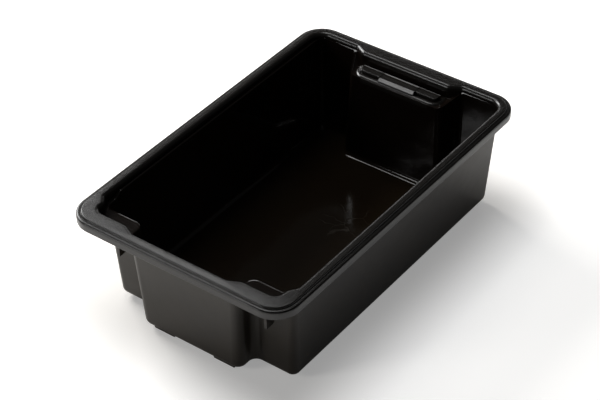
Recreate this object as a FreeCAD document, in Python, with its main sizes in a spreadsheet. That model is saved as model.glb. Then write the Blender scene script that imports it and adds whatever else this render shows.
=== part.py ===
"""Mortar mixing tub: a stack-and-nest builder's tub moulded in one piece from black plastic.

Frame: +X runs along the length, towards the end with the hand grip, +Y to the left, +Z up.
The origin is on the ground under the middle of the rim. All sizes are in millimetres and
degrees. The moulding is cut into the plain walls, floors, steps and rim bands that it is made
of, and the cuts are face to face, so that together they are the whole tub with nothing twice.
"""
import FreeCAD, Part
import os
import re

import Sketcher

SIZES = (
    # name, value, what it is
    ("rim_length", 645, "length over the rim"),
    ("rim_width", 413, "width over the rim"),
    ("tub_height", 198, "ground to the top of the rim"),
    ("rim_corner_radius", 45, "rim corner, seen from above"),
    ("wall", 3, "thickness of the walls and steps"),
    ("floor_sheet", 3, "thickness of the floor"),
    ("foot_height", 6, "ground to the underside of the floor"),
    ("draft", 3.1, "lean of every wall, for release from the mould"),
    # outline of the body at the underside of the floor, before rounding
    ("side_setback", 33.9, "edge of the rim in to a long side"),
    ("bulge_setback", 35.1, "edge of the rim in to the face of the bulged end"),
    ("column_setback", 71, "edge of the rim in to the set-back corners beside the bulge"),
    ("pocket_setback", 36.2, "edge of the rim in to the end of the pockets beside the grip"),
    ("grip_setback", 71, "edge of the rim in to the set-back wall under the grip"),
    ("bulge_half_width", 96.5, "middle to a side of the bulge"),
    ("pocket_front", 92, "middle to the pocket side wall, at the grip wall"),
    ("pocket_slant", 20, "how much further out that wall is at the pocket end"),
    ("corner_radius", 13, "upright corners at the long sides"),
    ("bulge_radius", 16, "upright corners of the bulge"),
    ("bulge_foot_radius", 12, "upright corners where the sides of the bulge meet the tub"),
    ("hollow_radius", 9, "upright corners where the pockets turn inwards"),
    ("bend_radius", 12, "outer bend from floor to wall"),
    # inner edge of the rim, with the stacking step below it
    ("step_depth", 18, "rim top to the stacking step"),
    ("bulge_flange", 21, "edge of the rim in to its inner edge over the bulge"),
    ("shelf_flange", 31, "the same over the corner shelves"),
    ("pocket_flange", 18.5, "the same over the pockets"),
    ("grip_flange", 30.5, "the same over the grip"),
    ("side_flange", 17, "the same at the long sides"),
    ("narrow_flange", 27.5, "the same at the long sides, beside the shelves"),
    ("narrow_end", 57.5, "end of the rim in to where the narrow stretch stops"),
    ("narrow_slant", 15, "length of the slant there"),
    ("bulge_jog", 6.5, "side of the bulge in to where the slant over it starts"),
    ("bulge_slant", 20, "width of that slant"),
    ("grip_jog", 86, "middle to where the slant beside the grip starts"),
    ("grip_slant", 19, "width of that slant"),
    ("shelf_corner_radius", 14, "inner edge corner over a shelf"),
    ("pocket_corner_radius", 20, "inner edge corner over a pocket"),
    ("jog_radius", 8, "inner edge bends at the slants"),
    # rim
    ("flange_sheet", 3, "thickness of the flange and of the shoulder"),
    ("ridge_inset", 9, "edge of the rim in to the edge of the flange"),
    ("shoulder_drop", 3, "flange top to shoulder top"),
    ("skirt_depth", 18, "rim top to the lower edge of the skirt"),
    ("skirt_wall", 3, "thickness of the skirt"),
    ("gate_hole_radius", 1.5, "small hole in the flange at each end"),
    ("bulge_hole_inset", 15.5, "edge of the rim in to the hole over the bulge"),
    ("grip_hole_inset", 11.5, "edge of the rim in to the hole over the grip"),
    # ribs under the corner shelves
    ("rib_inset", 30.6, "long side in to the middle of a rib"),
    ("rib_sheet", 5, "thickness of a rib"),
    ("rib_reach", 27.5, "foot of the column out to the free edge of a rib"),
    ("rib_depth", 66, "stacking step to the lower edge of a rib"),
    ("rib_chamfer", 6, "cut corner where a rib leaves the column"),
    # grip ledge
    ("ledge_half_width", 90, "half length of the grip ledge"),
    ("slot_setback", 24, "back of the ledge to the front of the foot slots"),
    ("slot_width", 6, "width of the foot slots"),
    ("slit_width", 2, "width of the slit at the inner end of a slot"),
    # feet
    ("foot_inner", 38.5, "middle to the inner end of a foot"),
    ("foot_length", 40.5, "length of a foot across the tub"),
    ("foot_width", 5, "width of a foot along the tub"),
    ("foot_clearance", 0.5, "room at each end of a foot in its slot"),
    ("bulge_foot_inset", 7.4, "face of the bulge in to its feet"),
    ("grip_foot_inset", 11.5, "grip wall in to its feet"),
)

TOLERANCE = 0.01

doc = FreeCAD.newDocument("MortarTub")
sheet = doc.addObject("Spreadsheet::Sheet", "Sizes")
for row, (alias, number, meaning) in enumerate(SIZES, start=1):
    sheet.set(f"A{row}", alias)
    sheet.set(f"B{row}", str(number))
    sheet.setAlias(f"B{row}", alias)
    sheet.set(f"C{row}", meaning)
doc.recompute()

ALIASES = re.compile(r"\b(" + "|".join(alias for alias, _, _ in SIZES) + r")\b")


def sized(text):
    """The expression that stands for a formula in the sheet's names."""
    return ALIASES.sub(r"Sizes.\1", text)


def value(text):
    """The number that a formula in the sheet's names gives now."""
    return float(sheet.evalExpression(sized(text)))


def bind(item, **formulas):
    """Tie properties of an object to the sheet; a double underscore stands for a dot."""
    for path, text in formulas.items():
        item.setExpression(path.replace("__", "."), sized(text))


def origin_plane(body, role):
    return next(item for item in body.Origin.OriginFeatures if item.Role == role)


def mirrored(corners):
    """A closed outline from the corners of its +Y half, listed from -X to +X."""
    other_half = [(x, f"-({y})", radius) for x, y, radius in reversed(corners)]
    return list(corners) + other_half


def draw_outline(sketch, corners):
    """A closed polygon whose corners are tied to the sheet."""
    points = [FreeCAD.Vector(value(x), value(y), 0) for x, y, _ in corners]
    count = len(points)
    for index, start in enumerate(points):
        sketch.addGeometry(Part.LineSegment(start, points[(index + 1) % count]), False)
    for index in range(count):
        sketch.addConstraint(Sketcher.Constraint("Coincident", index, 2, (index + 1) % count, 1))
    for index, (x, y, _) in enumerate(corners):
        for kind, text, number in (("DistanceX", x, points[index].x), ("DistanceY", y, points[index].y)):
            if number < 0:
                ends, text = (index, 1, -1, 1), f"-({text})"
            else:
                ends = (-1, 1, index, 1)
            place = sketch.addConstraint(Sketcher.Constraint(kind, *ends, abs(number)))
            sketch.setExpression(f"Constraints[{place}]", sized(text))


def round_corners(body, solid, corners, base):
    """Round the upright edges of a pad, one fillet for each radius."""
    groups = {}
    for x, y, radius in corners:
        if radius:
            groups.setdefault(radius, []).append((value(x), value(y)))
    for radius, places in groups.items():
        names = []
        for index, edge in enumerate(solid.Shape.Edges, start=1):
            low, high = sorted(edge.Vertexes, key=lambda vertex: vertex.Z)[::len(edge.Vertexes) - 1]
            if high.Z - low.Z < TOLERANCE or abs(low.Z - base) > TOLERANCE:
                continue
            if any(abs(low.X - x) + abs(low.Y - y) < TOLERANCE for x, y in places):
                names.append(f"Edge{index}")
        fillet = body.newObject("PartDesign::Fillet", "Corners")
        fillet.Base = (solid, names)
        bind(fillet, Radius=radius)
        doc.recompute()
        solid = fillet
    return solid


def prism(name, corners, bottom, top, lean=None, bend=None):
    """A solid over an outline, with rounded corners, leaning walls and a bent lower edge."""
    body = doc.addObject("PartDesign::Body", name)
    sketch = body.newObject("Sketcher::SketchObject", name + "_outline")
    sketch.AttachmentSupport = [(origin_plane(body, "XY_Plane"), "")]
    sketch.MapMode = "FlatFace"
    bind(sketch, AttachmentOffset__Base__z=bottom)
    draw_outline(sketch, corners)
    pad = body.newObject("PartDesign::Pad", name + "_pad")
    pad.Profile = sketch
    bind(pad, Length=f"({top}) - ({bottom})")
    if lean:
        bind(pad, TaperAngle=lean)
    doc.recompute()
    base = value(bottom)
    solid = round_corners(body, pad, corners, base)
    if bend:
        names = [f"Edge{index}" for index, edge in enumerate(solid.Shape.Edges, start=1)
                 if all(abs(vertex.Z - base) < TOLERANCE for vertex in edge.Vertexes)]
        fillet = body.newObject("PartDesign::Fillet", name + "_bend")
        fillet.Base = (solid, names)
        bind(fillet, Radius=bend)
        doc.recompute()
        solid = fillet
    body.Tip = solid
    return body


def block(name, x_range, y_range, z_range):
    """A box between two formulas along each axis."""
    box = doc.addObject("Part::Box", name)
    for size, axis, (low, high) in zip(("Length", "Width", "Height"), "xyz", (x_range, y_range, z_range)):
        box.setExpression(f"Placement.Base.{axis}", sized(low))
        box.setExpression(size, sized(f"({high}) - ({low})"))
    return box


def join(name, *items):
    """Several objects as one."""
    item = doc.addObject("Part::MultiFuse", name)
    item.Shapes = list(items)
    item.Refine = True
    return item


def cut(name, base, *tools):
    """An object without the room that the tools take."""
    tool = tools[0]
    if len(tools) > 1:
        tool = join(name + "_tools", *tools)
    item = doc.addObject("Part::Cut", name)
    item.Base = base
    item.Tool = tool
    return item


def common(name, base, region):
    """The part of an object that lies in a region."""
    item = doc.addObject("Part::Common", name)
    item.Base = base
    item.Tool = region
    return item


def side_range(side, low, high):
    """A range away from the middle plane, on the +Y (+1) or the -Y (-1) side."""
    return (low, high) if side > 0 else (f"-({high})", f"-({low})")


SIDES = (("left", 1), ("right", -1))


# --- places ---------------------------------------------------------------------------------

SIDE = "(rim_width / 2 - side_setback)"
BULGE = "(rim_length / 2 - bulge_setback)"
COLUMN = "(rim_length / 2 - column_setback)"
POCKET = "(rim_length / 2 - pocket_setback)"
GRIP = "(rim_length / 2 - grip_setback)"
POCKET_BACK = "(pocket_front + pocket_slant)"

FLOOR_TOP = "foot_height + floor_sheet"
STEP_TOP = "(tub_height - step_depth)"
STEP_UNDERSIDE = f"({STEP_TOP} - wall)"
LEDGE_TOP = f"({STEP_TOP} - foot_height)"
LEDGE_UNDERSIDE = f"({LEDGE_TOP} - wall)"
LEDGE_BACK = "(rim_length / 2 - grip_flange)"
SHOULDER_TOP = "tub_height - shoulder_drop"
SHOULDER_UNDERSIDE = "tub_height - shoulder_drop - flange_sheet"
FLANGE_UNDERSIDE = "tub_height - flange_sheet"
SKIRT_BOTTOM = "tub_height - skirt_depth"

SLOT_FRONT = f"({LEDGE_BACK} - slot_setback)"
SLOT_BACK = f"({SLOT_FRONT} + slot_width)"
SLOT_INNER = "(foot_inner - foot_clearance)"
SLOT_OUTER = "(foot_inner + foot_length + foot_clearance)"
SHELF_HALF = "(bulge_half_width - bulge_jog + bulge_slant)"

# Where the moulding is cut: the flat of the floor ends where the bend to a wall begins.
FAR = "rim_length"
BULGE_CUT = f"-({BULGE} - bend_radius)"
COLUMN_CUT = f"-({COLUMN} - bend_radius)"
SHELF_CUT = f"-({COLUMN} + ({STEP_TOP} - foot_height) * tan(draft * 1deg) + wall / 2)"
GRIP_CUT = f"({GRIP} - bend_radius)"
POCKET_CUT = f"({POCKET} - bend_radius)"
SIDE_CUT = f"({SIDE} - bend_radius)"
BULGE_SIDE_CUT = "(bulge_half_width - bend_radius)"
GRIP_SIDE_CUT = "(pocket_front - bend_radius - wall)"
POCKET_SIDE_CUT = f"({POCKET_BACK} - wall)"
BODY_HEIGHT = ("0", STEP_TOP)


# --- outlines -------------------------------------------------------------------------------

def slide(grow, depth, run):
    """How far a slanting stretch of an outline slides along when the outline grows."""
    return f"({grow}) * tan(atan(({depth}) / ({run})) / 2)"


def tub_outline(grow):
    """The body of the tub, seen from above: bulge, set-back corners, long sides, pockets."""
    pocket = slide(grow, f"{POCKET} - {GRIP}", "pocket_slant")
    return mirrored([
        (f"-({BULGE} + {grow})", f"bulge_half_width + {grow}", "bulge_radius"),
        (f"-({COLUMN} + {grow})", f"bulge_half_width + {grow}", "bulge_foot_radius"),
        (f"-({COLUMN} + {grow})", f"{SIDE} + {grow}", "corner_radius"),
        (f"{POCKET} + {grow}", f"{SIDE} + {grow}", "corner_radius"),
        (f"{POCKET} + {grow}", f"{POCKET_BACK} - {pocket}", "hollow_radius"),
        (f"{GRIP} + {grow}", f"pocket_front - {pocket}", "hollow_radius"),
    ])


def collar_outline(grow):
    """The inner edge of the rim, seen from above, moved outwards by a formula."""
    bulge = slide(grow, "shelf_flange - bulge_flange", "bulge_slant")
    side = slide(grow, "narrow_flange - side_flange", "narrow_slant")
    grip = slide(grow, "grip_flange - pocket_flange", "grip_slant")
    half_length, half_width = "rim_length / 2", "rim_width / 2"
    out_bend, in_bend = f"jog_radius + {grow}", f"jog_radius - ({grow}) + wall"
    shelf_x = f"-({half_length} - shelf_flange + {grow})"
    narrow_y = f"{half_width} - narrow_flange + {grow}"
    wide_y = f"{half_width} - side_flange + {grow}"
    pocket_x = f"{half_length} - pocket_flange + {grow}"
    return mirrored([
        (f"-({half_length} - bulge_flange + {grow})", f"bulge_half_width - bulge_jog + {bulge}", out_bend),
        (shelf_x, f"{SHELF_HALF} + {bulge}", in_bend),
        (shelf_x, narrow_y, f"shelf_corner_radius + {grow}"),
        (f"-({half_length} - narrow_end + {side})", narrow_y, in_bend),
        (f"-({half_length} - narrow_end - narrow_slant + {side})", wide_y, out_bend),
        (pocket_x, wide_y, f"pocket_corner_radius + {grow}"),
        (pocket_x, f"grip_jog + grip_slant - {grip}", out_bend),
        (f"{LEDGE_BACK} + {grow}", f"grip_jog - {grip}", in_bend),
    ])


def rim_outline(inset):
    """The rounded oblong of the rim, moved inwards by a formula."""
    half_length, half_width = f"rim_length / 2 - ({inset})", f"rim_width / 2 - ({inset})"
    radius = f"rim_corner_radius - ({inset})"
    return mirrored([
        (f"-({half_length})", half_width, radius),
        (half_length, half_width, radius),
    ])


# --- solids that the pieces are cut from ------------------------------------------------------

body_outer = prism("body_outer", tub_outline("0"), "foot_height", STEP_TOP,
                   lean="draft", bend="bend_radius")
body_inner = prism("body_inner", tub_outline("(floor_sheet * tan(draft * 1deg) - wall)"),
                   FLOOR_TOP, "tub_height", lean="draft", bend="bend_radius - wall")
collar_inner = prism("collar_inner", collar_outline("0"), LEDGE_UNDERSIDE, "tub_height")
collar_outer = prism("collar_outer", collar_outline("wall"), LEDGE_UNDERSIDE, FLANGE_UNDERSIDE)
flange_block = prism("flange_block", rim_outline("ridge_inset"), FLANGE_UNDERSIDE, "tub_height")
shoulder_block = prism("shoulder_block", rim_outline("0"), SHOULDER_UNDERSIDE, SHOULDER_TOP)
shoulder_room = prism("shoulder_room", rim_outline("ridge_inset + flange_sheet"),
                      SHOULDER_UNDERSIDE, SHOULDER_TOP)
skirt_block = prism("skirt_block", rim_outline("0"), SKIRT_BOTTOM, SHOULDER_UNDERSIDE)
skirt_room = prism("skirt_room", rim_outline("skirt_wall"), SKIRT_BOTTOM, SHOULDER_UNDERSIDE)

shell = cut("shell", body_outer, body_inner)

# the room over the grip ledge, the wall behind it, and the sheet of the ledge with its ends
ledge_span = ("-ledge_half_width", "ledge_half_width")
grip_room = block("grip_room", (GRIP_CUT, FAR), ledge_span, (LEDGE_TOP, FLANGE_UNDERSIDE))
ledge_zone = block("ledge_zone", (GRIP_CUT, FAR), ("-(ledge_half_width + wall)", "ledge_half_width + wall"),
                   (LEDGE_UNDERSIDE, STEP_TOP))
back_zone = block("back_zone", (GRIP_CUT, FAR), ledge_span, (LEDGE_UNDERSIDE, FLANGE_UNDERSIDE))
back_wall = cut("back_wall", common("back_block", collar_outer, back_zone), collar_inner)
collar_low = block("collar_low", (f"-{FAR}", FAR), (f"-{FAR}", FAR), ("0", STEP_UNDERSIDE))
collar_band = cut("collar_band", collar_outer, collar_inner, collar_low, back_zone, ledge_zone, body_outer)
ledge_sheet = cut("ledge_sheet", common("ledge_block", collar_outer, ledge_zone),
                  body_inner, grip_room, back_wall)


# --- pieces -----------------------------------------------------------------------------------

pieces = {}


def keep(name, item):
    """Name a finished piece, which becomes one file."""
    item.Label = name
    pieces[name] = item
    return item


def floors():
    """The flat of the floor: the middle, the bulge and the two pockets."""
    depth = ("0", FLOOR_TOP)
    zones = {
        "floor_panel": ((COLUMN_CUT, GRIP_CUT), (f"-({SIDE_CUT})", SIDE_CUT)),
        "floor_bulge": ((BULGE_CUT, COLUMN_CUT), (f"-({BULGE_SIDE_CUT})", BULGE_SIDE_CUT)),
    }
    for side_name, side in SIDES:
        zones[f"floor_pocket_{side_name}"] = (
            (GRIP_CUT, POCKET_CUT), side_range(side, POCKET_SIDE_CUT, SIDE_CUT))
    for name, (x_range, y_range) in zones.items():
        keep(name, common(name, shell, block(name + "_zone", x_range, y_range, depth)))


def walls():
    """The walls with the bends at their feet, and their upright corners."""
    bulge = block("bulge_face_zone", (f"-{FAR}", BULGE_CUT), (f"-{FAR}", FAR), BODY_HEIGHT)
    keep("bulge_end_wall", common("bulge_end_wall", shell, bulge))
    grip = block("grip_wall_zone", (GRIP_CUT, FAR), (f"-({GRIP_SIDE_CUT})", GRIP_SIDE_CUT),
                 ("0", LEDGE_UNDERSIDE))
    keep("grip_wall", common("grip_wall", shell, grip))
    for side_name, side in SIDES:
        zones = {
            "side_wall": ((COLUMN_CUT, POCKET_CUT), (SIDE_CUT, FAR), BODY_HEIGHT),
            "bulge_side_wall": ((BULGE_CUT, SHELF_CUT), (BULGE_SIDE_CUT, FAR), BODY_HEIGHT),
            "corner_column": ((SHELF_CUT, COLUMN_CUT), (BULGE_SIDE_CUT, FAR), BODY_HEIGHT),
            "pocket_side_wall": ((GRIP_CUT, FAR), (GRIP_SIDE_CUT, POCKET_SIDE_CUT), BODY_HEIGHT),
            "pocket_end_wall": ((POCKET_CUT, FAR), (POCKET_SIDE_CUT, FAR), BODY_HEIGHT),
        }
        for name, (x_range, y_range, z_range) in zones.items():
            zone = block(f"{name}_{side_name}_zone", x_range, side_range(side, *y_range), z_range)
            piece = common(f"{name}_{side_name}_whole", shell, zone)
            if name == "pocket_side_wall":
                piece = cut(f"{name}_{side_name}_cut", piece, ledge_zone)
            keep(f"{name}_{side_name}", piece)


def round_the_top(band, height, bulge, shelf, long_side, pocket):
    """Cut a band into its runs over the bulge, the corner shelves, the long sides and the pockets."""
    zone = block(bulge + "_zone", (f"-{FAR}", SHELF_CUT), (f"-{SHELF_HALF}", SHELF_HALF), height)
    keep(bulge, common(bulge, band, zone))
    for side_name, side in SIDES:
        zones = {
            shelf: ((f"-{FAR}", COLUMN_CUT), (SHELF_HALF, FAR)),
            long_side: ((COLUMN_CUT, POCKET_CUT), (SIDE_CUT, FAR)),
            pocket: ((GRIP_CUT, FAR), ("0", FAR)),
        }
        for run, (x_range, y_range) in zones.items():
            name = f"{run}_{side_name}"
            zone = block(name + "_zone", x_range, side_range(side, *y_range), height)
            piece = common(name, band, zone)
            if run == pocket:
                piece = cut(name + "_cut", piece, pieces[f"{long_side}_{side_name}"])
            keep(name, piece)


def steps():
    """The stacking step round the top of the walls, with a wider shelf in each set-back corner."""
    web = cut("step_web", common("step_disc", collar_inner, block(
        "step_zone", (f"-{FAR}", FAR), (f"-{FAR}", FAR), (STEP_UNDERSIDE, STEP_TOP))),
        body_outer, ledge_zone)
    round_the_top(web, BODY_HEIGHT, "step_bulge", "corner_shelf", "step_side", "step_pocket")


def collar():
    """The upright band round the step up to the flange, and the taller wall behind the grip ledge."""
    round_the_top(collar_band, ("0", FLANGE_UNDERSIDE),
                  "collar_bulge", "collar_shelf", "collar_side", "collar_pocket")
    keep("grip_back_wall", back_wall)


def raised(name, front, across):
    """The outside and the hollow of a raised part of the ledge, closed at the back by the wall there."""
    low, high = across
    outside = block(name + "_outside", (front, LEDGE_BACK), across, (LEDGE_UNDERSIDE, STEP_TOP))
    hollow = block(name + "_hollow", (f"{front} + wall", LEDGE_BACK),
                   (f"{low} + wall", f"{high} - wall"), (LEDGE_UNDERSIDE, STEP_UNDERSIDE))
    return outside, hollow


def ledge():
    """The grip ledge: a low lip, a raised middle, and two raised blocks behind the foot slots."""
    half = "ledge_half_width + wall"
    lip = block("lip_zone", ("0", SLOT_FRONT), (f"-({half})", half), ("0", LEDGE_TOP))
    keep("ledge_lip", common("ledge_lip", ledge_sheet, lip))
    keep("ledge_middle", cut("ledge_middle", *raised("middle", SLOT_FRONT, (f"-{SLOT_INNER}", SLOT_INNER))))
    for side_name, side in SIDES:
        zone = block(f"ledge_block_{side_name}_zone", (GRIP_CUT, FAR),
                     side_range(side, SLOT_INNER, half), ("0", STEP_TOP))
        slot = block(f"foot_slot_{side_name}", (SLOT_FRONT, SLOT_BACK),
                     side_range(side, SLOT_INNER, SLOT_OUTER), (LEDGE_UNDERSIDE, LEDGE_TOP))
        slit = block(f"slit_{side_name}", (SLOT_FRONT, LEDGE_BACK),
                     side_range(side, SLOT_INNER, f"{SLOT_INNER} + slit_width"),
                     (LEDGE_UNDERSIDE, LEDGE_TOP))
        outside, hollow = raised(f"block_{side_name}", SLOT_BACK,
                                 side_range(side, f"{SLOT_INNER} + slit_width", SLOT_OUTER))
        sheet_part = common(f"ledge_block_{side_name}_sheet", ledge_sheet, zone)
        whole = join(f"ledge_block_{side_name}_whole", sheet_part, outside)
        keep(f"ledge_block_{side_name}",
             cut(f"ledge_block_{side_name}_cut", whole, lip, slot, slit, hollow))


def rim():
    """The flange, the shoulder one step lower round it, and the skirt that hangs from that."""
    holes = []
    for name, place in (("bulge", "bulge_hole_inset - rim_length / 2"),
                        ("grip", "rim_length / 2 - grip_hole_inset")):
        hole = doc.addObject("Part::Cylinder", f"gate_hole_{name}")
        bind(hole, Radius="gate_hole_radius", Height="flange_sheet",
             Placement__Base__x=place, Placement__Base__z=FLANGE_UNDERSIDE)
        holes.append(hole)
    keep("rim_flange", cut("rim_flange", flange_block, collar_inner, *holes))
    keep("rim_shoulder", cut("rim_shoulder", shoulder_block, shoulder_room, collar_band))
    keep("rim_skirt", cut("rim_skirt", skirt_block, skirt_room))


def ribs():
    """A thin upright rib under each corner shelf, standing out from the column."""
    for side_name, side in SIDES:
        name = f"shelf_rib_{side_name}"
        body = doc.addObject("PartDesign::Body", name + "_plate")
        sketch = body.newObject("Sketcher::SketchObject", name + "_outline")
        sketch.AttachmentSupport = [(origin_plane(body, "XZ_Plane"), "")]
        sketch.MapMode = "FlatFace"
        bind(sketch, AttachmentOffset__Base__z=f"{-side} * ({SIDE} - rib_inset)")
        bottom = f"({STEP_TOP} - rib_depth)"
        root = f"{COLUMN} + ({bottom} - foot_height) * tan(draft * 1deg)"
        draw_outline(sketch, [
            (f"-({COLUMN} + rib_reach)", STEP_UNDERSIDE, None),
            (f"-({COLUMN} + rib_reach)", bottom, None),
            (f"-({root} + rib_chamfer)", bottom, None),
            (f"-({root})", f"{bottom} + rib_chamfer", None),
            (f"-{COLUMN}", f"{bottom} + rib_chamfer", None),
            (f"-{COLUMN}", STEP_UNDERSIDE, None),
        ])
        pad = body.newObject("PartDesign::Pad", name + "_pad")
        pad.Profile = sketch
        pad.SideType = "Symmetric"
        bind(pad, Length="rib_sheet")
        body.Tip = pad
        keep(name, cut(name, body, body_outer))


def feet():
    """Four low bars that the tub stands on."""
    for side_name, side in SIDES:
        across = side_range(side, "foot_inner", "foot_inner + foot_length")
        bulge, grip = f"({BULGE} - bulge_foot_inset)", f"({GRIP} - grip_foot_inset)"
        for end, x_range in (("bulge", (f"-{bulge}", f"foot_width - {bulge}")),
                             ("grip", (f"{grip} - foot_width", grip))):
            name = f"foot_{end}_{side_name}"
            bar = block(name + "_bar", x_range, across, ("0", FLOOR_TOP))
            keep(name, cut(name, bar, body_outer))


floors()
walls()
steps()
collar()
ledge()
rim()
ribs()
feet()
doc.recompute()

for item in doc.Objects:
    if "Invalid" in item.State or "Error" in item.State:
        raise RuntimeError(f"{item.Name} failed: {item.State}")
for name, item in pieces.items():
    if item.Shape.isNull() or not item.Shape.isValid() or len(item.Shape.Solids) != 1:
        raise RuntimeError(f"{name} is not one valid solid")
os.makedirs("parts", exist_ok=True)
for name, item in pieces.items():
    item.Shape.exportStep(f"parts/{name}.step")
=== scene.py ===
"""Mortar mixing tub: the finished look of the tub, laid out as a Blender add-on and run as a script."""

import math

import bmesh
import bpy
from mathutils import Matrix, Vector


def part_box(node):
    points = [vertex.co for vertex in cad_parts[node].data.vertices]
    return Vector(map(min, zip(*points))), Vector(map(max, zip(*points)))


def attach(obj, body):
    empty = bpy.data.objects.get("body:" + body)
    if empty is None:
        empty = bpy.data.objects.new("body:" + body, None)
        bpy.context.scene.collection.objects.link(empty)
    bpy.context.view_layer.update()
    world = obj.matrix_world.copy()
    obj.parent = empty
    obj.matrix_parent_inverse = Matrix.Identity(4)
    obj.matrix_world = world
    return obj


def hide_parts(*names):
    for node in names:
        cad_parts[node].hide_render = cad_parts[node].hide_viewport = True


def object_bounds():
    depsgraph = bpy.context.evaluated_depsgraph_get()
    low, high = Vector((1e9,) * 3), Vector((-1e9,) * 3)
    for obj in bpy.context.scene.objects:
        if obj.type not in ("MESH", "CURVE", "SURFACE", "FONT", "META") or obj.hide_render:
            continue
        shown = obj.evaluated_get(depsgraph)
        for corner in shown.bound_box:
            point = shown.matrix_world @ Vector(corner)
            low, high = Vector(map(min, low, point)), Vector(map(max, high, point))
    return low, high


bl_info = {
    "name": "Mortar mixing tub",
    "version": (1, 0, 0),
    "blender": (4, 5, 0),
    "location": "3D View > Sidebar > Mixing Tub",
    "description": "Builds a black plastic mixing tub with its rim, grip ledge, ribs and feet",
    "category": "Add Mesh",
}

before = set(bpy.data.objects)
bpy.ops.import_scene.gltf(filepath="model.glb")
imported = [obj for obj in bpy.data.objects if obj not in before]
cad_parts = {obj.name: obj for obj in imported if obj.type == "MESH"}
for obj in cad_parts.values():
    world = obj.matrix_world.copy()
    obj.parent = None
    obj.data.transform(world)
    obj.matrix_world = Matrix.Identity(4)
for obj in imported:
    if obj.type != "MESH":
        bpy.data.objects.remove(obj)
CAD_BOX = [list(corner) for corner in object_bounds()]
MM = 0.001
SIDES = (("left", 1), ("right", -1))
SEAM = 1e-7  # a vertex nearer to the middle plane than this lies on it
MERGE = 1e-5  # vertices nearer to each other than this become one
STRAIGHT = 1 * MM  # radius at a corner that lies on a straight stretch
CREASE = 0.9  # radians; an edge that turns more than this is a corner of the shape


# --- sizes and colours ------------------------------------------------------------------------

def length(name, description, millimetres):
    """A size, given in millimetres and kept in metres."""
    return bpy.props.FloatProperty(name=name, description=description, default=millimetres * MM,
                                   subtype="DISTANCE", unit="LENGTH")


def count(name, description, default):
    """A number of faces."""
    return bpy.props.IntProperty(name=name, description=description, default=default, min=2, max=32)


def ink(name, description, default):
    """A colour as an sRGB hex code."""
    return bpy.props.StringProperty(name=name, description=description, default=default)


class TubSizes(bpy.types.PropertyGroup):
    """Sizes of the moulding, measured as the real tub is."""
    wall: length("Wall", "Thickness of the walls and of the rim", 3)
    foot_height: length("Foot height", "Ground to the underside of the floor", 6)
    lean: bpy.props.FloatProperty(name="Lean", description="Lean of every wall", subtype="ANGLE",
                                  unit="ROTATION", default=math.radians(3.1))
    pocket_lean: bpy.props.FloatProperty(name="Pocket lean", description="Lean of the end of a pocket",
                                         subtype="ANGLE", unit="ROTATION", default=math.radians(5.0))
    side: length("Side", "Middle to a long side, outside, under the floor", 172.6)
    bulge_end: length("Bulge end", "Middle to the face of the bulge", 287.4)
    column: length("Column", "Middle to the set-back corners beside the bulge", 251.5)
    pocket_end: length("Pocket end", "Middle to the end of a pocket", 286.3)
    grip: length("Grip wall", "Middle to the wall under the grip", 251.5)
    bulge_half: length("Bulge half width", "Middle to a side of the bulge", 96.5)
    pocket_front: length("Pocket front", "Middle to the pocket side wall, at the grip wall", 92)
    pocket_back: length("Pocket back", "Middle to that wall at the pocket end", 112)
    bend: length("Bend", "Inner bend from the floor to a wall", 9)
    step: length("Step", "Rim top to the stacking step", 18)
    step_round: length("Step rounding", "Rounding from a wall to the stacking step", 1.5)
    edge_width: length("Edge width", "Narrow slope along the edge of a step", 1.4)
    edge_slope: bpy.props.FloatProperty(name="Edge slope", description="How much that edge slopes",
                                        subtype="ANGLE", unit="ROTATION", default=math.radians(13.5))
    side_raise: length("Side raise", "How much higher the step lies along the sides and pockets", 8)
    raise_start: length("Raise start", "Middle to where the step starts to rise", 236)
    raise_end: length("Raise end", "Middle to where the step has risen", 222)
    grip_drop: length("Grip drop", "How much lower the step lies behind the grip wall", 9)
    joint: length("Joint", "Rim top to where the rim piece meets the body piece", 7.5)
    rim_round: length("Rim rounding", "Rounding of the inner edge of the rim", 7)
    rim_wall: length("Rim wall", "Thickness of the rim", 2.5)
    rim_corner: length("Rim corner", "Radius of the rim corners", 44)
    near_slope: length("Near slope", "How much the flange falls outwards at the bulged end", 0.5)
    corner_steps: count("Corner steps", "Faces round an upright corner", 10)
    bend_steps: count("Bend steps", "Faces over a bend or a rounded edge", 9)


class TubFinish(bpy.types.PropertyGroup):
    """Colours and lights."""
    # the inside's colour, darker than the outside's for the same plastic: painted shade
    inside_shaded_ink: ink("Body colour", "Black polypropylene, smooth, sRGB", "#100b08")
    outside_ink: ink("Outside colour", "Black polypropylene, satin, sRGB", "#1d170e")
    # a lighter brown for the floor and the foot of the walls, fading out 28 mm above the ground
    low_tint_ink: ink("Dust colour", "Thin film of dried dust on the floor, sRGB", "#241c12")
    scratch_ink: ink("Scratch colour", "Plastic whitened by a scratch, sRGB", "#38332d")
    rim_ink: ink("Rim colour", "Black polypropylene, grained, sRGB", "#181614")
    floor_ink: ink("Floor colour", "Pale studio floor, sRGB", "#f3efe9")
    lamp_level: bpy.props.FloatProperty(name="Lamp level", description="Scales every lamp",
                                        default=1.0, min=0.0, max=4.0)


# --- outlines ---------------------------------------------------------------------------------
# Each outline is the +Y half of a closed line, from the middle of the bulged end to the middle of
# the grip end: (x, y, radius) for each corner. The spans say how many of its corners lie level with
# the step, raised beside it and dropped behind the grip.
TUB_SPANS = (5, 3, 2)
EDGE_SPANS = (6, 3, 2)


def by_span(spans, level, raised, dropped):
    """A height for each corner of an outline."""
    return [level] * spans[0] + [raised] * spans[1] + [dropped] * spans[2]


def slide(grow, depth, run):
    """How far a slanting stretch slides along when its outline grows."""
    return grow * math.tan(math.atan2(depth, run) / 2)


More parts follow.
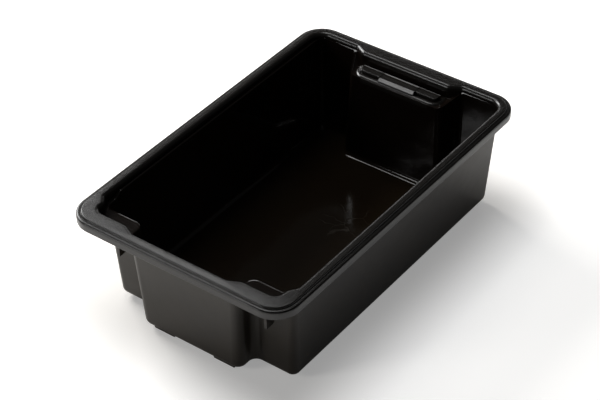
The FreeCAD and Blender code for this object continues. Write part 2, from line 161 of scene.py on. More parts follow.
def tub_outline(sizes, height, inset=0.0, spread=0.0):
    """Inner face of the body at a height, set in for a bend or spread for a rounding. The rounding
    fades over the pockets and the grip, where the wall runs straight on into the rim."""
    rise = height - sizes.foot_height
    grow = rise * math.tan(sizes.lean) - sizes.wall - inset
    far = rise * math.tan(sizes.pocket_lean) - sizes.wall - inset + 0.1 * spread
    hollow, full = 3 * MM + inset, -3 * MM - inset
    back = slide(grow, sizes.pocket_end - sizes.grip, sizes.pocket_back - sizes.pocket_front)
    end, column = sizes.bulge_end + grow + 0.8 * spread, sizes.column + grow + spread
    side = sizes.side + grow + spread
    # radii on the outside of the wall
    bulge, bulge_foot, corner, pocket, grip = 16 * MM, 12 * MM, 13 * MM, 3 * MM, 9 * MM
    return [
        (-end, 0, 0),
        (-end, sizes.bulge_half + grow + spread, bulge + full + spread),
        (-column, sizes.bulge_half + grow + spread, bulge_foot + hollow - spread),
        (-column, side, corner + full + spread),
        (-sizes.raise_start, side, STRAIGHT),
        (-sizes.raise_end, side, STRAIGHT),
        (sizes.pocket_end + far, side, corner + full),
        (sizes.pocket_end + far, sizes.pocket_back - back, pocket + hollow),
        (sizes.grip + grow, sizes.pocket_front - back, grip + hollow),
        (sizes.grip + grow, 0, 0),
    ]


def edge_outline(sizes, grow):
    """Inner edge of the rim, wider over the shelves and the grip."""
    # how far it lies from the middle: over the bulge, the shelves, the pockets and the grip
    bulge_x, shelf_x, pocket_x, grip_x = 298 * MM, 288 * MM, 300.3 * MM, 289.5 * MM
    shelf_y, side_y = 172.5 * MM, 183.8 * MM
    # where each of the three slants starts and ends
    bulge_start, bulge_stop = 90 * MM, 110 * MM
    side_start, side_stop = 267 * MM, 252 * MM
    grip_start, grip_stop = 105 * MM, 86 * MM
    bulge = slide(grow, bulge_x - shelf_x, bulge_stop - bulge_start)
    side = slide(grow, side_y - shelf_y, side_start - side_stop)
    grip = slide(grow, pocket_x - grip_x, grip_start - grip_stop)
    out, into = 8 * MM + grow, 11 * MM - grow
    shelf_corner, pocket_corner = 14 * MM + grow, 22 * MM + grow
    return [
        (-bulge_x - grow, 0, 0),
        (-bulge_x - grow, bulge_start + bulge, out),
        (-shelf_x - grow, bulge_stop + bulge, into),
        (-shelf_x - grow, shelf_y + grow, shelf_corner),
        (-side_start - side, shelf_y + grow, into),
        (-side_stop - side, side_y + grow, out),
        (-sizes.raise_end, side_y + grow, STRAIGHT),
        (pocket_x + grow, side_y + grow, pocket_corner),
        (pocket_x + grow, grip_start - grip, out),
        (grip_x + grow, grip_stop - grip, into),
        (grip_x + grow, 0, 0),
    ]


def rim_outline(sizes, inset):
    """The rounded oblong of the rim."""
    low, high = CAD_BOX
    half_length, half_width = (high[0] - low[0]) / 2 - inset, (high[1] - low[1]) / 2 - inset
    radius = sizes.rim_corner - inset
    return [
        (-half_length, 0, 0),
        (-half_length, half_width, radius),
        (half_length, half_width, radius),
        (half_length, 0, 0),
    ]


# --- mesh tools -------------------------------------------------------------------------------

def half_ring(shape, corners, segments, heights):
    """The +Y half of an outline as an open chain of edges, with its corners rounded, at one height
    or at a height for each corner."""
    known = set(shape.edges)
    if isinstance(heights, float):
        heights = [heights] * len(corners)
    verts = [shape.verts.new((x, y, z)) for (x, y, _), z in zip(corners, heights)]
    shape.faces.new(verts)
    for index in range(1, len(corners) - 1):
        here = Vector(corners[index][:2])
        before, after = Vector(corners[index - 1][:2]) - here, Vector(corners[index + 1][:2]) - here
        turn = math.pi - before.angle(after)
        reach = max(corners[index][2] * math.tan(turn / 2), STRAIGHT)
        bmesh.ops.bevel(shape, geom=[verts[index]], offset=reach, offset_type="OFFSET",
                        segments=segments, profile=0.5, affect="VERTICES", material=-1,
                        clamp_overlap=False)
    edges = [edge for edge in shape.edges if edge not in known]
    faces = {face for edge in edges for face in edge.link_faces}
    bmesh.ops.delete(shape, geom=list(faces), context="FACES_ONLY")
    closing = [edge for edge in edges if all(abs(vert.co.y) < SEAM for vert in edge.verts)]
    bmesh.ops.delete(shape, geom=closing, context="EDGES")
    return [edge for edge in edges if edge.is_valid]


def loft(shape, rings):
    """Faces from each ring to the next."""
    for ring, following in zip(rings, rings[1:]):
        bmesh.ops.bridge_loops(shape, edges=ring + following)


def seam_verts(ring):
    """The two ends of a half ring, on the middle plane, from -X to +X."""
    verts = {vert for edge in ring for vert in edge.verts if abs(vert.co.y) < SEAM}
    return sorted(verts, key=lambda vert: vert.co.x)


def fill_flat(shape, ring, following):
    """A flat sheet between two half rings at one height."""
    closing = [shape.edges.new(pair) for pair in zip(seam_verts(ring), seam_verts(following))]
    bmesh.ops.triangle_fill(shape, use_beauty=True, edges=ring + following + closing)


def whole(shape):
    """Mirror a +Y half over the middle plane, close the seam and let every face look up or inwards."""
    bmesh.ops.mirror(shape, geom=shape.verts[:] + shape.edges[:] + shape.faces[:], axis="Y",
                     merge_dist=MERGE)
    bmesh.ops.remove_doubles(shape, verts=shape.verts, dist=MERGE)
    bmesh.ops.recalc_face_normals(shape, faces=shape.faces)
    flattest = max(shape.faces, key=lambda face: abs(face.normal.z) * face.calc_area())
    if flattest.normal.z < 0:
        bmesh.ops.reverse_faces(shape, faces=shape.faces)


def thicken(shape, thickness):
    """Give a sheet its thickness behind the side that is seen; the new faces get the second slot."""
    front = set(shape.faces)
    bmesh.ops.solidify(shape, geom=shape.faces[:], thickness=thickness)
    for face in shape.faces:
        face.material_index = int(face not in front)
    if shape.calc_volume(signed=True) < 0:
        bmesh.ops.reverse_faces(shape, faces=shape.faces)


def rounded(shape, edges, radius, segments):
    """Round edges off."""
    bmesh.ops.bevel(shape, geom=edges, offset=radius, offset_type="OFFSET", segments=segments,
                    profile=0.5, affect="EDGES", material=-1, clamp_overlap=True)


def raise_face(shape, face, way):
    """Draw a face out into a solid."""
    grown = bmesh.ops.extrude_face_region(shape, geom=[face])["geom"]
    moved = [item for item in grown if isinstance(item, bmesh.types.BMVert)]
    bmesh.ops.translate(shape, vec=way, verts=moved)
    bmesh.ops.recalc_face_normals(shape, faces=shape.faces)


def finish_piece(shape, name, materials, nodes, sharp=math.radians(38)):
    """Make the mesh an object that stands for CAD nodes, rides on the body and shades smoothly."""
    for face in shape.faces:
        face.smooth = True
    for edge in shape.edges:
        if len(edge.link_faces) == 2 and edge.calc_face_angle(0) > sharp:
            edge.smooth = False
    mesh = bpy.data.meshes.new(name)
    shape.to_mesh(mesh)
    shape.free()
    for material in materials:
        mesh.materials.append(material)
    piece = bpy.data.objects.new(name, mesh)
    bpy.context.scene.collection.objects.link(piece)
    weights = piece.modifiers.new("Even shading", "WEIGHTED_NORMAL")
    weights.keep_sharp = True
    weights.weight = 60
    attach(piece, "root")
    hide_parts(*nodes)


def brick(shape, low, high):
    """A block between two corners."""
    size = [b - a for a, b in zip(low, high)]
    middle = [(a + b) / 2 for a, b in zip(low, high)]
    place = Matrix.Translation(middle) @ Matrix.Diagonal((*size, 1))
    bmesh.ops.create_cube(shape, size=1, matrix=place)


# --- materials --------------------------------------------------------------------------------

POLYPROPYLENE_IOR = 1.49
MULTIPLY = {"operation": "MULTIPLY"}
MULTIPLY_ADD = {"operation": "MULTIPLY_ADD"}
MAXIMUM = {"operation": "MAXIMUM"}
BLEND = {"data_type": "RGBA"}


def linear(code):
    """An sRGB hex colour as linear values."""
    values = [int(code[index:index + 2], 16) / 255 for index in (1, 3, 5)]
    return (*[v / 12.92 if v <= 0.04045 else ((v + 0.055) / 1.055) ** 2.4 for v in values], 1)


def lighter(code, share):
    """The linear values of an sRGB hex colour, made lighter."""
    return (*[value * share for value in linear(code)[:3]], 1)


def add_node(material, kind, settings=None, **links):
    """Add a node with its settings. Each link is an input, by name or, as in _2, by number, and a
    value or a socket."""
    tree = material.node_tree
    node = tree.nodes.new(kind)
    for key, setting in (settings or {}).items():
        setattr(node, key, setting)
    for key, source in links.items():
        socket = node.inputs[int(key[1:]) if key[0] == "_" else key.replace("_", " ")]
        if isinstance(source, bpy.types.NodeSocket):
            tree.links.new(source, socket)
        else:
            socket.default_value = source
    return node


def new_material(name):
    """A material without nodes."""
    material = bpy.data.materials.new(name)
    material.use_nodes = True
    material.node_tree.nodes.clear()
    return material


def ramp_of(material, factor, *stops):
    """A colour ramp from (position, grey) stops."""
    node = add_node(material, "ShaderNodeValToRGB", Fac=factor)
    ramp = node.color_ramp
    while len(ramp.elements) < len(stops):
        ramp.elements.new(0.5)
    for element, (position, grey) in zip(ramp.elements, stops):
        element.position = position
        element.color = (grey, grey, grey, 1)
    return node.outputs["Color"]


def scratches(material, place):
    """How much of a scratch there is: lines that cross on one patch of the floor, 1 on a line."""
    middle = (0.098, -0.018, 0.009)
    apart = add_node(material, "ShaderNodeVectorMath", {"operation": "DISTANCE"}, _0=place, _1=middle)
    # whole within 35 mm of the middle, gone at 55 mm
    near = add_node(material, "ShaderNodeMapRange", _0=apart.outputs["Value"], _1=0.035, _2=0.055,
                    _3=1.0, _4=0.0)
    # the lines are the borders of cells 35 mm across, bent by patches 30 mm across
    bent = add_node(material, "ShaderNodeTexNoise", Vector=place, Scale=1 / 0.03)
    pushed = add_node(material, "ShaderNodeVectorMath", MULTIPLY_ADD, _0=bent.outputs["Color"],
                      _1=(0.03, 0.03, 0.0), _2=place)
    cells = add_node(material, "ShaderNodeTexVoronoi", {"feature": "DISTANCE_TO_EDGE"},
                     Vector=pushed.outputs[0], Scale=1 / 0.035)
    line = add_node(material, "ShaderNodeMapRange", _0=cells.outputs["Distance"], _1=0.006, _2=0.016,
                    _3=1.0, _4=0.0)
    return add_node(material, "ShaderNodeMath", MULTIPLY, _0=line.outputs["Result"],
                    _1=near.outputs["Result"]).outputs[0]


def moulded_polypropylene(name, finish, roughness, tint):
    """Black polypropylene, injection moulded, with the soft unevenness of a large thin moulding and
    fine scuffs from stacking."""
    if name in bpy.data.materials:
        return bpy.data.materials[name]
    material = new_material(name)
    place = add_node(material, "ShaderNodeTexCoord").outputs["Object"]
    # sink marks and flow: patches about 70 mm across
    flow = add_node(material, "ShaderNodeTexNoise", Vector=place, Scale=1 / 0.07, Detail=2.0,
                    Roughness=0.5)
    patch = ramp_of(material, flow.outputs["Fac"], (0.35, 0.0), (0.7, 1.0))
    # orange peel of the mould, about 4 mm across
    peel = add_node(material, "ShaderNodeTexNoise", Vector=place, Scale=1 / 0.004, Detail=1.0)
    # scuffs: stretched streaks about 1.5 mm wide, real ones are 0.2 mm
    turned = add_node(material, "ShaderNodeMapping", Vector=place, Rotation=(0.4, 0.3, 0.9),
                      Scale=(60.0, 650.0, 650.0))
    scuff = add_node(material, "ShaderNodeTexNoise", Vector=turned.outputs["Vector"], Scale=1.0,
                     Detail=3.0, Roughness=0.6)
    scuffs = ramp_of(material, scuff.outputs["Fac"], (0.62, 0.0), (0.72, 1.0))
    rough = add_node(material, "ShaderNodeMath", MULTIPLY_ADD, _0=patch, _1=0.03, _2=roughness)
    rougher = add_node(material, "ShaderNodeMath", MULTIPLY_ADD, _0=scuffs, _1=0.12,
                       _2=rough.outputs[0])
    first = add_node(material, "ShaderNodeBump", Strength=0.25, Distance=0.004,
                     Height=flow.outputs["Fac"])
    second = add_node(material, "ShaderNodeBump", Strength=0.06, Distance=0.0004,
                      Height=peel.outputs["Fac"], Normal=first.outputs["Normal"])
    black = add_node(material, "ShaderNodeMix", BLEND, _0=patch, _6=linear(tint), _7=lighter(tint, 1.35))
    # a lighter brown tint on the floor and low on every wall, gone 28 mm above the ground
    height = add_node(material, "ShaderNodeSeparateXYZ", Vector=place).outputs["Z"]
    film = add_node(material, "ShaderNodeMapRange", _0=height, _1=0.008, _2=0.028, _3=0.8, _4=0.0)
    low_tinted = add_node(material, "ShaderNodeMix", BLEND, _0=film.outputs["Result"],
                     _6=black.outputs[2], _7=linear(finish.low_tint_ink))
    scratched = add_node(material, "ShaderNodeMix", BLEND, _0=scratches(material, place),
                         _6=low_tinted.outputs[2], _7=linear(finish.scratch_ink))
    shader = add_node(material, "ShaderNodeBsdfPrincipled", Base_Color=scratched.outputs[2],
                      Roughness=rougher.outputs[0], Normal=second.outputs["Normal"],
                      IOR=POLYPROPYLENE_IOR)
    add_node(material, "ShaderNodeOutputMaterial", Surface=shader.outputs[0])
    return material


def smooth_polypropylene(finish):
    """The inside, from a polished core: glossy, so it mirrors what is near and shows long highlights.
    Its colour is darker than the outside's as painted shade.
    """
    return moulded_polypropylene("smooth_polypropylene", finish, 0.11, finish.inside_shaded_ink)


def satin_polypropylene(finish):
    """The outside, from a blasted cavity: satin, so the white floor only shows as a soft sheen."""
    return moulded_polypropylene("satin_polypropylene", finish, 0.34, finish.outside_ink)


def grained_polypropylene(finish):
    """Polypropylene from an etched mould: black with a fine leather-like grain that spreads every
    highlight, so that the rim looks grey where it faces a light."""
    if "grained_polypropylene" in bpy.data.materials:
        return bpy.data.materials["grained_polypropylene"]
    material = new_material("grained_polypropylene")
    place = add_node(material, "ShaderNodeTexCoord").outputs["Object"]
    # etched grain: 0.4 mm on the real rim, drawn 1 mm across so that it shows at this distance
    grain = add_node(material, "ShaderNodeTexVoronoi", {"feature": "SMOOTH_F1"}, Vector=place,
                     Scale=1 / 0.001, Smoothness=0.6)
    # polish from handling: patches about 30 mm across
    cloud = add_node(material, "ShaderNodeTexNoise", Vector=place, Scale=1 / 0.03, Detail=3.0,
                     Roughness=0.55)
    worn = ramp_of(material, cloud.outputs["Fac"], (0.4, 0.0), (0.68, 1.0))
    rough = add_node(material, "ShaderNodeMath", MULTIPLY_ADD, _0=worn, _1=-0.04, _2=0.27)
    bump = add_node(material, "ShaderNodeBump", Strength=0.35, Distance=0.00025,
                    Height=grain.outputs["Distance"])
    tone = add_node(material, "ShaderNodeMix", BLEND, _0=worn, _6=linear(finish.rim_ink),
                    _7=lighter(finish.rim_ink, 1.3))
    shader = add_node(material, "ShaderNodeBsdfPrincipled", Base_Color=tone.outputs[2],
                      Roughness=rough.outputs[0], Normal=bump.outputs["Normal"],
                      IOR=POLYPROPYLENE_IOR)
    add_node(material, "ShaderNodeOutputMaterial", Surface=shader.outputs[0])
    return material


def studio_paper(finish):
    """Matt white background paper: it takes the tub's shadow and glows white, but less beside the tub,
    as painted shade that is deepest in a mirror.
    """
    material = new_material("studio_paper")
    place = add_node(material, "ShaderNodeTexCoord").outputs["Object"]
    fibre = add_node(material, "ShaderNodeTexNoise", Vector=place, Scale=1 / 0.004, Detail=2.0)
    bump = add_node(material, "ShaderNodeBump", Strength=0.05, Distance=0.0002,
                    Height=fibre.outputs["Fac"])
    paper = add_node(material, "ShaderNodeBsdfDiffuse", Color=linear(finish.floor_ink),
                     Normal=bump.outputs["Normal"])
    # the glow is painted shade near the tub: it turns white with distance, so that the shadow beside the
    # tub stays and the floor seen low in the tub's walls is darker
    apart = add_node(material, "ShaderNodeSeparateXYZ", Vector=place)
    half_length, half_width = 0.28, 0.17
    past = []
    for axis, half in enumerate((half_length, half_width)):
        size = add_node(material, "ShaderNodeMath", {"operation": "ABSOLUTE"}, _0=apart.outputs[axis])
        past.append(add_node(material, "ShaderNodeMath", {"operation": "SUBTRACT", "use_clamp": True},
                             _0=size.outputs[0], _1=half).outputs[0])
    away = add_node(material, "ShaderNodeCombineXYZ", X=past[0], Y=past[1])
    reach = add_node(material, "ShaderNodeVectorMath", {"operation": "LENGTH"}, _0=away.outputs[0])
    path = add_node(material, "ShaderNodeLightPath")
    camera = path.outputs["Is Camera Ray"]
    # the least glow, beside the tub, where it is painted shade, and how far off it is full:
    # 0.3 and 150 mm for the camera, 0.05 and 300 mm in a mirror
    least = add_node(material, "ShaderNodeMath", MULTIPLY_ADD, _0=camera, _1=0.25, _2=0.05)
    full = add_node(material, "ShaderNodeMath", MULTIPLY_ADD, _0=camera, _1=-0.15, _2=0.3)
    # painted shade: the glow rises from its least beside the tub to full further off
    white = add_node(material, "ShaderNodeMapRange", {"interpolation_type": "SMOOTHSTEP"},
                     _0=reach.outputs["Value"], _1=0.0, _2=full.outputs[0], _3=least.outputs[0], _4=0.75)
    seen = add_node(material, "ShaderNodeMath", MAXIMUM, _0=camera, _1=path.outputs["Is Glossy Ray"])
    seen = add_node(material, "ShaderNodeMath", MAXIMUM, _0=seen.outputs[0],
                    _1=path.outputs["Is Transmission Ray"])
    lift = add_node(material, "ShaderNodeMath", MULTIPLY, _0=seen.outputs[0], _1=white.outputs["Result"])
    glow = add_node(material, "ShaderNodeEmission", Color=(1, 1, 1, 1), Strength=lift.outputs[0])
    both = add_node(material, "ShaderNodeAddShader", _0=paper.outputs[0], _1=glow.outputs[0])
    add_node(material, "ShaderNodeOutputMaterial", Surface=both.outputs[0])
    return material


# --- operators --------------------------------------------------------------------------------

class TubOperator:
    """What the makers of all pieces share: the sizes and the finish."""
    bl_options = {"REGISTER", "UNDO"}

    @property
    def sizes(self):
        return bpy.context.scene.tub_sizes

    @property
    def look(self):
        return bpy.context.scene.tub_finish


class MIXTUB_OT_body(TubOperator, bpy.types.Operator):
    """Floor, leaning walls, stacking step and the foot of the collar, as one sheet with its thickness"""
    bl_idname = "mixtub.body"
    bl_label = "Body"

    def execute(self, context):
        sizes = self.sizes
        top = CAD_BOX[1][2]
        floor_top, step_top = sizes.foot_height + sizes.wall, top - sizes.step
        last = math.pi / 2 - sizes.edge_slope
        edge_rise = sizes.edge_width * math.tan(sizes.edge_slope)
        wall_top = step_top - sizes.step_round * math.sin(last) - edge_rise
        shape = bmesh.new()

        def ring(height, inset=0.0, spread=0.0, shift=0.0):
            """A ring of the inner face; the shift is the share of the raise and the drop it has."""
            raised, dropped = shift * sizes.side_raise, shift * sizes.grip_drop
            base = min(height, wall_top)
            level, lifted, lowered = [tub_outline(sizes, base + change, inset, spread)
                                      for change in (0.0, raised, -dropped)]
            first, second = TUB_SPANS[0], sum(TUB_SPANS[:2])
            places = level[:first] + lifted[first:second] + lowered[second:]
            heights = by_span(TUB_SPANS, height, height + raised, height - dropped)
            return half_ring(shape, places, sizes.corner_steps, heights)

        # bend from the floor to the wall
        rings = []
        turn = math.pi / 2 - sizes.lean
        corner_line = (floor_top - sizes.foot_height) * math.tan(sizes.lean)
        foot = corner_line - sizes.bend * math.tan(turn / 2)
        for index in range(sizes.bend_steps + 1):
            angle = turn * index / sizes.bend_steps
            height = floor_top + sizes.bend * (1 - math.cos(angle))
            leaning = (height - sizes.foot_height) * math.tan(sizes.lean)
            rings.append(ring(height, inset=leaning - foot - sizes.bend * math.sin(angle)))
        # wall
        bend_top, lifts = height, 4
        for index in range(1, lifts + 1):
            rings.append(ring(bend_top + (wall_top - bend_top) * index / lifts, shift=index / lifts))
        # rounding on to the step, and the narrow slope along its edge
        for index in range(1, sizes.bend_steps + 1):
            angle = last * index / sizes.bend_steps
            spread = sizes.step_round * (1 - math.cos(angle))
            rings.append(ring(wall_top + sizes.step_round * math.sin(angle), spread=spread, shift=1.0))
        rings.append(ring(step_top, spread=spread + sizes.edge_width, shift=1.0))
        loft(shape, rings)
        bmesh.ops.edgeloop_fill(shape, edges=rings[0] + [shape.edges.new(seam_verts(rings[0]))])
        # step, flat as far as the pockets and sloping down beside the grip
        raised = step_top + sizes.side_raise + 0.4 * MM
        heights = by_span(EDGE_SPANS, step_top, raised, step_top - sizes.grip_drop + 3 * MM)
        foot = half_ring(shape, edge_outline(sizes, 0), sizes.corner_steps, heights)
        flat, sloping = zip(self.split(rings[-1]), self.split(foot))
        bmesh.ops.bridge_loops(shape, edges=sloping[0] + sloping[1])
        self.fill_step(shape, *flat)
        joint = half_ring(shape, edge_outline(sizes, 0), sizes.corner_steps, top - sizes.joint)
        loft(shape, [foot, joint])
        whole(shape)
        thicken(shape, sizes.wall)
        kinds = ("floor", "side", "bulge", "corner", "pocket", "grip", "step", "collar")
        nodes = [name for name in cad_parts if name.split("_")[0] in kinds]
        finishes = (smooth_polypropylene(self.look), satin_polypropylene(self.look))
        finish_piece(shape, "tub_body", finishes, nodes, math.radians(12))
        return {"FINISHED"}

    def split(self, ring):
        """A ring in two: up to the end of the pocket, and the rest, to the middle of the grip."""
        # just inside the end wall, the grip wall and the side of the grip
        end_wall, grip_wall, grip_side, slack = 280 * MM, 240 * MM, 90 * MM, 0.001 * MM
        ends = [edge for edge in ring
                if all(vert.co.x > end_wall and vert.co.y > grip_side for vert in edge.verts)]
        last = max(ends, key=lambda edge: edge.calc_length())
        limit = min(vert.co.y for vert in last.verts) + slack
        beyond = [edge for edge in ring
                  if all(vert.co.x > grip_wall and vert.co.y < limit for vert in edge.verts)]
        return [edge for edge in ring if edge not in beyond], beyond

    def fill_step(self, shape, inner, outer):
        """The flat step between the wall and the collar, from the bulge to the pocket."""
        closing = []
        for pick in (min, max):
            pair = []
            for ring in (inner, outer):
                ends = [vert for edge in ring for vert in edge.verts
                        if sum(vert in other.verts for other in ring) == 1]
                pair.append(pick(ends, key=lambda vert: vert.co.x))
            closing.append(shape.edges.get(pair) or shape.edges.new(pair))
        bmesh.ops.triangle_fill(shape, use_beauty=True, edges=inner + outer + closing,
                                normal=(0, 0, 1))


# the rim from the flange over the first ridge, the groove and the second ridge to the skirt:
# (inset, drop) in millimetres, from the outside and from the top
RIM_PROFILE = (
    (9.6, 0), (9.0, 0.1), (8.4, 0.5), (8.0, 1.1), (7.8, 1.9), (7.5, 2.6), (7.0, 2.95), (6.2, 3.0),
    (3.2, 3.0), (1.9, 3.25), (0.9, 3.9), (0.3, 4.8), (0.12, 5.6), (0.35, 6.0), (0.35, 6.5),
    (0.05, 6.9), (0, 7.6), (0, 16.4), (0.25, 17.3), (0.8, 17.85), (1.5, 18.0))
SHOULDER_DROP = 3


class MIXTUB_OT_rim(TubOperator, bpy.types.Operator):
    """Rounded inner edge, flat flange, two ridges with a groove between them, and the skirt"""
    bl_idname = "mixtub.rim"
    bl_label = "Rim"

    def execute(self, context):
        sizes = self.sizes
        top = CAD_BOX[1][2]
        shape = bmesh.new()
        rings = [half_ring(shape, edge_outline(sizes, 0), sizes.corner_steps, top - sizes.joint)]
        for index in range(sizes.bend_steps + 1):
            angle = math.pi / 2 * index / sizes.bend_steps
            rings.append(half_ring(shape, edge_outline(sizes, sizes.rim_round * (1 - math.cos(angle))),
                                   sizes.corner_steps, top - sizes.rim_round * (1 - math.sin(angle))))
        loft(shape, rings)
        outer = []
        for inset, drop in RIM_PROFILE:
            height = top - drop * MM
            near = height - (sizes.near_slope if drop < SHOULDER_DROP else 0)
            corners = rim_outline(sizes, inset * MM)
            outer.append(half_ring(shape, corners, 2 * sizes.corner_steps, [near] * 2 + [height] * 2))
        fill_flat(shape, rings[-1], outer[0])
        loft(shape, outer)
        whole(shape)
        thicken(shape, sizes.rim_wall)
        nodes = ["rim_flange", "rim_shoulder", "rim_skirt"]
        finish = grained_polypropylene(self.look)
        finish_piece(shape, "rim", (finish, finish), nodes)
        return {"FINISHED"}


class MIXTUB_OT_ledge(TubOperator, bpy.types.Operator):
    """Grip ledge: a low lip round a raised middle and two blocks, with narrow slots between them"""
    bl_idname = "mixtub.ledge"
    bl_label = "Grip ledge"

    def execute(self, context):
        sizes = self.sizes
        step_top = CAD_BOX[1][2] - sizes.step
        finish = (grained_polypropylene(self.look),)
        low, base = step_top - 6 * MM, step_top - 20 * MM
        self.lip(finish, low, base)
        # the middle: a flat top, a wide slope at the front that ends over the lip, a bead behind
        flat = step_top - 0.6 * MM
        bead, bead_foot = 282.6 * MM, 281.2 * MM
        rear = [(bead, base), (bead, step_top), (bead_foot, flat)]
        slope_top, front, slot_side = 267.3 * MM, 261 * MM, 266.2 * MM
        slope_drop, under = 2.8 * MM, 0.5 * MM
        half = 34.5 * MM
        middle = self.bar(rear + [(slope_top, flat), (front, flat - slope_drop), (front, low - under),
                                  (slot_side, low - under), (slot_side, base)], -half, half)
        finish_piece(middle, "ledge_centre", finish, ["ledge_middle"], math.radians(10))
        # the blocks: each has one rounded upright corner
        block_front, block_start, block_end = 269 * MM, 36.5 * MM, 76 * MM
        for name, side in SIDES:
            ends = sorted((side * block_start, side * block_end))
            block = self.bar(rear + [(block_front, flat), (block_front, base)], *ends)
            corner = [edge for edge in block.edges
                      if all(vert.co.x < block_front + MM and abs(vert.co.y) > block_end - 6 * MM
                             for vert in edge.verts)]
            rounded(block, corner, 5 * MM, 6)
            before_bead = bead_foot - 0.1 * MM
            crest = [edge for edge in block.edges if edge.calc_face_angle(0) > CREASE
                     and all(vert.co.z > low and vert.co.x < before_bead for vert in edge.verts)]
            rounded(block, crest, 1.1 * MM, 4)
            finish_piece(block, "ledge_pad_" + name, finish, ["ledge_block_" + name],
                         math.radians(26))
        return {"FINISHED"}

    def bar(self, profile, start, end):
        """A bar along Y with a profile of (x, z) points."""
        shape = bmesh.new()
        face = shape.faces.new([shape.verts.new((x, start, z)) for x, z in profile])
        raise_face(shape, face, (0, end - start, 0))
        return shape

    def lip(self, finish, low, base):
        """A U-shaped lip, level with the top of the grip wall and rounded over it."""
        near = 0.1 * MM
        back, front, half, corner = 292.5 * MM, 257 * MM, 89 * MM, 24 * MM
        inner_front, inner_half, inner_corner = 266 * MM, 76.5 * MM, 6 * MM
        lip = bmesh.new()
        plan = [(back, -half), (front, -half), (front, half), (back, half), (back, inner_half),
                (inner_front, inner_half), (inner_front, -inner_half), (back, -inner_half)]
        face = lip.faces.new([lip.verts.new((x, y, base)) for x, y in plan])
        raise_face(lip, face, (0, 0, low - base))

        def upright(x, least_y):
            """The upright edges at one distance along the tub, on both sides."""
            return [edge for edge in lip.edges
                    if all(abs(vert.co.x - x) < near and abs(vert.co.y) > least_y for vert in edge.verts)
                    and abs(edge.verts[0].co.z - edge.verts[1].co.z) > low - base - near]

        def crest():
            """The upper edges, without those at the back, which lie in the wall."""
            return [edge for edge in lip.edges if all(vert.co.z > low - near for vert in edge.verts)
                    and not all(vert.co.x > back - near for vert in edge.verts)]

        def is_outer(edge):
            """Whether an upper edge lies on the outside of the U."""
            middle = (edge.verts[0].co + edge.verts[1].co) / 2
            centre = Vector((front + corner, math.copysign(half - corner, middle.y)))
            if middle.x < centre.x and abs(middle.y) > half - corner:
                return (Vector(middle[:2]) - centre).length > corner - 4.5 * MM
            return middle.x < front + near or abs(middle.y) > half - near

        rounded(lip, upright(front, 0), corner, 12)
        rounded(lip, upright(inner_front, inner_half - 0.5 * MM), inner_corner, 6)
        rounded(lip, [edge for edge in crest() if is_outer(edge)], 6.5 * MM, 6)
        rounded(lip, [edge for edge in crest() if edge.calc_face_angle(0) > CREASE], 0.8 * MM, 2)
        finish_piece(lip, "ledge_lip_round", finish, ["ledge_lip"])


class MIXTUB_OT_feet(TubOperator, bpy.types.Operator):
    """Four low feet under the floor, with soft edges"""
    bl_idname = "mixtub.feet"
    bl_label = "Feet"

    def execute(self, context):
        for place in ("bulge", "grip"):
            for name, _ in SIDES:
                node = f"foot_{place}_{name}"
                low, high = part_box(node)
                foot = bmesh.new()
                brick(foot, low, high)
                free = [edge for edge in foot.edges
                        if not all(vert.co.z > high.z - MERGE for vert in edge.verts)]
                rounded(foot, free, 1.2 * MM, 3)
                finish_piece(foot, node + "_bar", (satin_polypropylene(self.look),), [node])
        return {"FINISHED"}


class MIXTUB_OT_ribs(TubOperator, bpy.types.Operator):
    """The upright ribs under the corner shelves, kept as they are and given their finish"""
    bl_idname = "mixtub.ribs"
    bl_label = "Shelf ribs"

    def execute(self, context):
        for name, _ in SIDES:
            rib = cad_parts["shelf_rib_" + name]
            rib.data.materials.clear()
            rib.data.materials.append(satin_polypropylene(self.look))
        return {"FINISHED"}


# name, place, size (level, along the tilt) in metres, and power in watts
LAMPS = (
    ("softbox_left", (-2.1, 1.2, 1.0), (0.6, 0.7), 10),
    ("strip_top", (0.35, 0.7, 1.7), (0.4, 0.8), 6.5),
    ("strip_back", (2.6, 1.6, 0.95), (2.4, 0.4), 9),
    ("softbox_back", (0.4, 2.4, 1.6), (1.6, 1.0), 70),
)
WORLD_GREY = 0.03
AIM_HEIGHT = 0.1


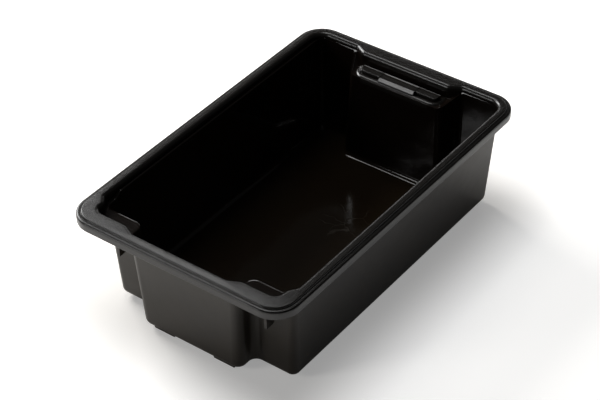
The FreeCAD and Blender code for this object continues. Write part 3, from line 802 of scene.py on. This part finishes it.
class MIXTUB_OT_stage(TubOperator, bpy.types.Operator):
    """Pale floor, soft studio lamps and the camera at the photograph's viewing angle"""
    bl_idname = "mixtub.stage"
    bl_label = "Stage"

    def execute(self, context):
        shape = bmesh.new()
        bmesh.ops.create_grid(shape, x_segments=1, y_segments=1, size=6)
        mesh = bpy.data.meshes.new("studio_floor")
        shape.to_mesh(mesh)
        shape.free()
        mesh.materials.append(studio_paper(self.look))
        floor = bpy.data.objects.new("studio_floor", mesh)
        context.scene.collection.objects.link(floor)
        for lamp in LAMPS:
            self.lamp(*lamp)
        world = bpy.data.worlds.new("studio")
        context.scene.world = world
        world.use_nodes = True
        shade = world.node_tree.nodes["Background"].inputs["Color"]
        shade.default_value = (WORLD_GREY, WORLD_GREY, WORLD_GREY, 1)
        self.camera()
        context.scene.view_settings.view_transform = "Standard"
        return {"FINISHED"}

    def lamp(self, name, place, size, power):
        """An oblong softbox that looks at the tub."""
        light = bpy.data.lights.new(name, "AREA")
        light.shape = "RECTANGLE"
        light.size, light.size_y = size
        light.energy = power * self.look.lamp_level
        lamp = bpy.data.objects.new(name, light)
        lamp.location = place
        aim = Vector((0, 0, AIM_HEIGHT)) - Vector(place)
        lamp.rotation_euler = aim.to_track_quat("-Z", "Y").to_euler()
        bpy.context.scene.collection.objects.link(lamp)

    def camera(self):
        """The camera at the photograph's viewing angle, in radians and metres."""
        azimuth, elevation, roll = -0.9182, 0.6725, -0.0208
        target, distance = Vector((0.0071, 0.0082, AIM_HEIGHT)), 3.0536
        level = math.cos(elevation)
        back = Vector((math.sin(azimuth) * level, -math.cos(azimuth) * level, math.sin(elevation)))
        right = (-back).cross(Vector((0, 0, 1))).normalized()
        up = right.cross(-back)
        turned_right = math.cos(roll) * right + math.sin(roll) * up
        turned_up = -math.sin(roll) * right + math.cos(roll) * up
        view = bpy.data.cameras.new("camera")
        view.sensor_width = 36
        view.lens = 114.48
        view.clip_end = 50
        camera = bpy.data.objects.new("camera", view)
        axes = Matrix((turned_right, turned_up, back)).transposed().to_4x4()
        camera.matrix_world = Matrix.Translation(target + back * distance) @ axes
        bpy.context.scene.collection.objects.link(camera)
        bpy.context.scene.camera = camera


class MIXTUB_PT_panel(bpy.types.Panel):
    """Lists the pieces of the tub in the order in which they are made"""
    bl_idname = "MIXTUB_PT_panel"
    bl_label = "Mixing Tub"
    bl_space_type = "VIEW_3D"
    bl_region_type = "UI"
    bl_category = "Mixing Tub"

    def draw(self, context):
        for maker in OPERATORS:
            self.layout.operator(maker.bl_idname)
        for group in (context.scene.tub_sizes, context.scene.tub_finish):
            for name in group.__annotations__:
                self.layout.prop(group, name)


OPERATORS = (MIXTUB_OT_body, MIXTUB_OT_rim, MIXTUB_OT_ledge, MIXTUB_OT_feet, MIXTUB_OT_ribs,
             MIXTUB_OT_stage)
CLASSES = (TubSizes, TubFinish, *OPERATORS, MIXTUB_PT_panel)


def register():
    for item in CLASSES:
        bpy.utils.register_class(item)
    bpy.types.Scene.tub_sizes = bpy.props.PointerProperty(type=TubSizes)
    bpy.types.Scene.tub_finish = bpy.props.PointerProperty(type=TubFinish)


def unregister():
    del bpy.types.Scene.tub_finish
    del bpy.types.Scene.tub_sizes
    for item in reversed(CLASSES):
        bpy.utils.unregister_class(item)


def main():
    """Make every piece and the stage."""
    register()
    bpy.ops.mixtub.body()
    bpy.ops.mixtub.rim()
    bpy.ops.mixtub.ledge()
    bpy.ops.mixtub.feet()
    bpy.ops.mixtub.ribs()
    bpy.ops.mixtub.stage()


if __name__ == "__main__":
    main()
